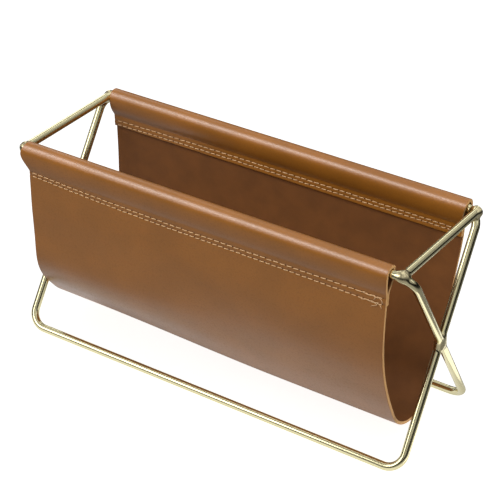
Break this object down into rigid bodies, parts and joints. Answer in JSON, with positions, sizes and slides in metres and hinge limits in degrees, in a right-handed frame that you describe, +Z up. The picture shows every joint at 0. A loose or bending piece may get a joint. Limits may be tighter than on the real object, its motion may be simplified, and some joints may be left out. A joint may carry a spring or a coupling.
{
  "type": "magazine rack",
  "caption": "Small desktop rack: crossed wire frames carry a hanging leather sling that holds magazines, letters and papers upright.",
  "frame": {"origin": "on the table, under the middle of the rack", "axes": "+X along the rods, +Y to the back, +Z up"},
  "size_m": [0.257, 0.0904, 0.1303],
  "materials": {
    "gold_wire": "polished pale champagne gold plating on round steel wire",
    "tan_leather": "smooth semi-gloss saddle tan leather with a darker red-brown inside and pale raw cut edges",
    "ochre_thread": "waxed ochre sewing thread"
  },
  "bodies": {
    "root": {"front_top_frame": "gold_wire", "back_top_frame": "gold_wire", "left_tie_bar": "gold_wire", "right_tie_bar": "gold_wire", "leather_sling": "tan_leather", "front_hem_upper_seam": "ochre_thread", "front_hem_lower_seam": "ochre_thread", "back_hem_upper_seam": "ochre_thread", "back_hem_lower_seam": "ochre_thread"}
  },
  "joints": []
}
